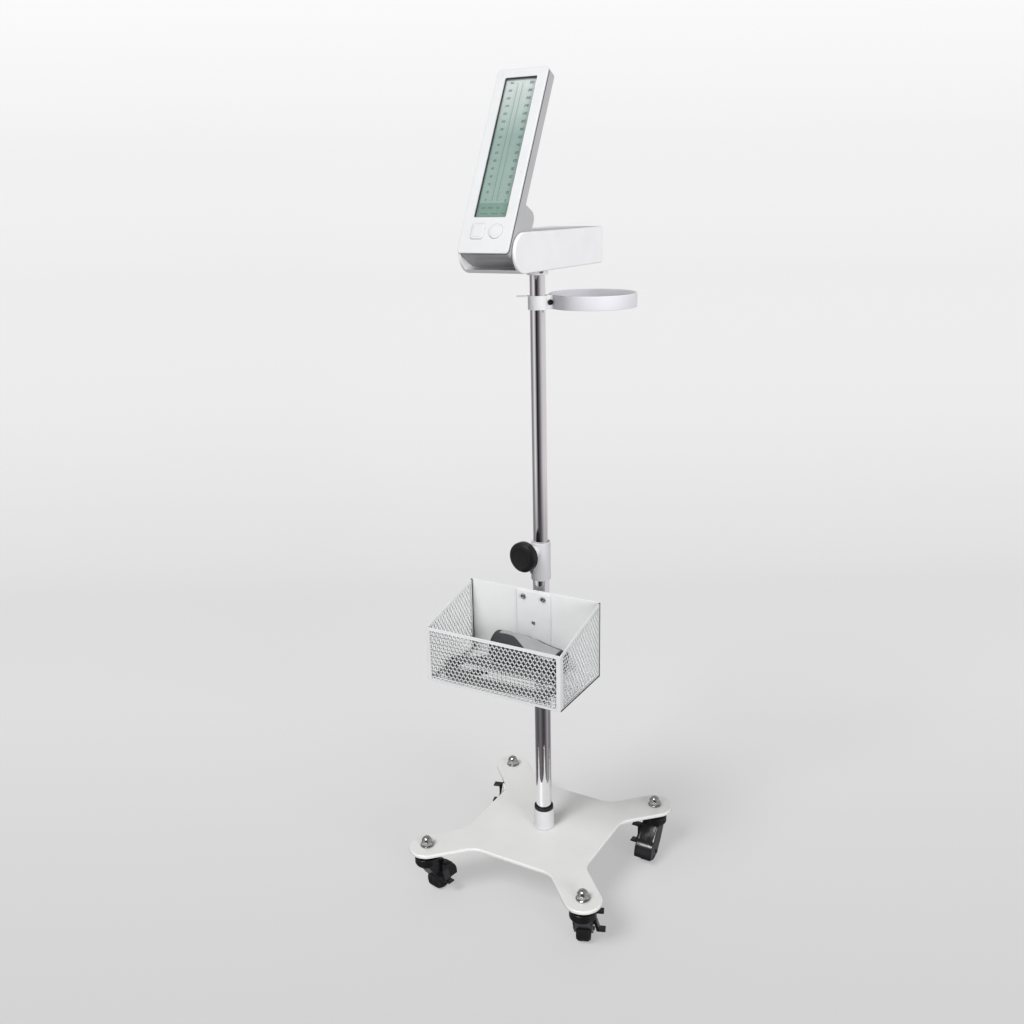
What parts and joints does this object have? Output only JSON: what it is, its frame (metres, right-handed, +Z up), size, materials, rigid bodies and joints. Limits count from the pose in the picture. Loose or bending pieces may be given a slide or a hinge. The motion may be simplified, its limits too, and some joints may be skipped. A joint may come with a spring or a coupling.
{
  "type": "automatic blood pressure monitor",
  "caption": "Upright blood pressure monitor tilted on a cradle, on a telescopic mast with a clamp knob, side hoop, mesh basket with rolled cuff, and a lobed base on braked casters.",
  "frame": {"origin": "on the floor, on the axis of the mast, midway between the casters", "axes": "+Z up along the mast, the display and the basket face -Y, +X to the right as the display is read"},
  "size_m": [0.426, 0.426, 1.5761],
  "materials": {
    "white_coat": "satin white powder coat",
    "white_plastic": "satin white moulded plastic",
    "grey_plastic": "matte grey moulded plastic",
    "black_plastic": "satin black moulded plastic",
    "black_rubber": "matte black rubber",
    "chrome": "polished chrome plate",
    "steel": "zinc-plated steel",
    "clear_window": "clear, polished",
    "display_green": "green liquid-crystal panel",
    "board_green": "green solder mask",
    "cuff_cloth": "dark woven nylon",
    "hose_grey": "grey extruded hose"
  },
  "bodies": {
    "base": {"base_plate": "white_coat", "pole_socket": "white_coat", "socket_ring": "black_rubber", "lower_tube": "chrome", "mast_collar": "white_coat", "collar_bolt": "steel", "basket_back": "white_coat", "basket_front": "white_coat", "basket_left": "white_coat", "basket_right": "white_coat", "basket_floor": "white_coat", "bracket_plate": "white_coat", "pole_saddle": "white_coat", "bracket_bolt_left": "steel", "bracket_bolt_right": "steel", "bracket_screw": "steel", "caster_stem_lf": "steel", "caster_stem_rf": "steel", "caster_stem_rr": "steel", "caster_stem_lr": "steel", "dome_nut_lf": "chrome", "dome_nut_rf": "chrome", "dome_nut_rr": "chrome", "dome_nut_lr": "chrome"},
    "mast_sleeve": {"tube_foot": "black_plastic"},
    "mast": {"upper_tube": "chrome", "hoop_collar": "white_coat", "hoop_ring": "white_coat", "hoop_screw": "black_plastic", "cradle_body": "white_plastic", "cradle_cover": "white_plastic", "cradle_screw": "steel", "tilt_pin": "steel"},
    "head": {"front_case": "white_plastic", "rear_case": "grey_plastic", "display_window": "clear_window", "display_panel": "display_green", "main_board": "board_green", "air_pump": "steel", "battery_pack": "black_plastic", "air_socket": "black_plastic"},
    "knob": {"clamp_knob": "black_plastic"},
    "power_button": {"button_power": "white_plastic"},
    "start_button": {"button_start": "white_plastic"},
    "hatch": {"battery_cover": "grey_plastic"},
    "cuff": {"arm_cuff": "cuff_cloth", "air_hose": "hose_grey", "hose_plug": "black_plastic"},
    "fork_lf": {"caster_fork_lf": "black_plastic"},
    "wheel_lf": {"caster_wheel_lf": "black_rubber"},
    "pedal_lf": {"caster_pedal_lf": "black_plastic"},
    "fork_rf": {"caster_fork_rf": "black_plastic"},
    "wheel_rf": {"caster_wheel_rf": "black_rubber"},
    "pedal_rf": {"caster_pedal_rf": "black_plastic"},
    "fork_rr": {"caster_fork_rr": "black_plastic"},
    "wheel_rr": {"caster_wheel_rr": "black_rubber"},
    "pedal_rr": {"caster_pedal_rr": "black_plastic"},
    "fork_lr": {"caster_fork_lr": "black_plastic"},
    "wheel_lr": {"caster_wheel_lr": "black_rubber"},
    "pedal_lr": {"caster_pedal_lr": "black_plastic"}
  },
  "joints": [
    {"name": "mast_slide", "type": "slide", "parent": "base", "child": "mast_sleeve", "axis": [0, 0, 1], "range_m": [-0.28, 0.2]},
    {"name": "mast_turn", "type": "hinge", "parent": "mast_sleeve", "child": "mast", "pos_m": [0, 0, 0.7], "axis": [0, 0, 1], "continuous": true},
    {"name": "head_tilt", "type": "hinge", "parent": "mast", "child": "head", "pos_m": [0, -0.14, 1.28597], "axis": [1, 0, 0], "range_deg": [-25, 25]},
    {"name": "knob_turn", "type": "hinge", "parent": "base", "child": "knob", "pos_m": [-0.00782, -0.04938, 0.725], "axis": [-0.1564, -0.9877, 0], "continuous": true},
    {"name": "power_press", "type": "slide", "parent": "head", "child": "power_button", "axis": [0, 0.8894, -0.4571], "range_m": [0, 0.001], "stiffness_N_per_m": 400},
    {"name": "start_press", "type": "slide", "parent": "head", "child": "start_button", "axis": [0, 0.8894, -0.4571], "range_m": [0, 0.001], "stiffness_N_per_m": 400},
    {"name": "hatch_pull", "type": "slide", "parent": "head", "child": "hatch", "axis": [0, 0.8894, -0.4571], "range_m": [0, 0.025]},
    {"name": "cuff_lift", "type": "slide", "parent": "base", "child": "cuff", "axis": [0, 0, 1], "range_m": [0, 0.12]},
    {"name": "swivel_lf", "type": "hinge", "parent": "base", "child": "fork_lf", "pos_m": [-0.176, -0.176, 0.085], "axis": [0, 0, 1], "continuous": true},
    {"name": "roll_lf", "type": "hinge", "parent": "fork_lf", "child": "wheel_lf", "pos_m": [-0.17044, -0.14449, 0.025], "axis": [-0.9848, 0.1736, 0], "continuous": true},
    {"name": "brake_lf", "type": "hinge", "parent": "fork_lf", "child": "pedal_lf", "pos_m": [-0.15007, -0.1562, 0.052], "axis": [0.1736, 0.9848, 0], "range_deg": [0, 12]},
    {"name": "swivel_rf", "type": "hinge", "parent": "base", "child": "fork_rf", "pos_m": [0.176, -0.176, 0.085], "axis": [0, 0, 1], "continuous": true},
    {"name": "roll_rf", "type": "hinge", "parent": "fork_rf", "child": "wheel_rf", "pos_m": [0.16401, -0.14633, 0.025], "axis": [-0.9272, -0.3746, 0], "continuous": true},
    {"name": "brake_rf", "type": "hinge", "parent": "fork_rf", "child": "pedal_rf", "pos_m": [0.1875, -0.14547, 0.052], "axis": [-0.3746, 0.9272, 0], "range_deg": [0, 12]},
    {"name": "swivel_rr", "type": "hinge", "parent": "base", "child": "fork_rr", "pos_m": [0.176, 0.176, 0.085], "axis": [0, 0, 1], "continuous": true},
    {"name": "roll_rr", "type": "hinge", "parent": "fork_rr", "child": "wheel_rr", "pos_m": [0.176, 0.144, 0.025], "axis": [1, 0, 0], "continuous": true},
    {"name": "brake_rr", "type": "hinge", "parent": "fork_rr", "child": "pedal_rr", "pos_m": [0.1539, 0.152, 0.052], "axis": [0, -1, 0], "range_deg": [0, 12]},
    {"name": "swivel_lr", "type": "hinge", "parent": "base", "child": "fork_lr", "pos_m": [-0.176, 0.176, 0.085], "axis": [0, 0, 1], "continuous": true},
    {"name": "roll_lr", "type": "hinge", "parent": "fork_lr", "child": "wheel_lr", "pos_m": [-0.16772, 0.14509, 0.025], "axis": [0.9659, 0.2588, 0], "continuous": true},
    {"name": "brake_lr", "type": "hinge", "parent": "fork_lr", "child": "pedal_lr", "pos_m": [-0.19113, 0.1471, 0.052], "axis": [0.2588, -0.9659, 0], "range_deg": [0, 12]}
  ]
}
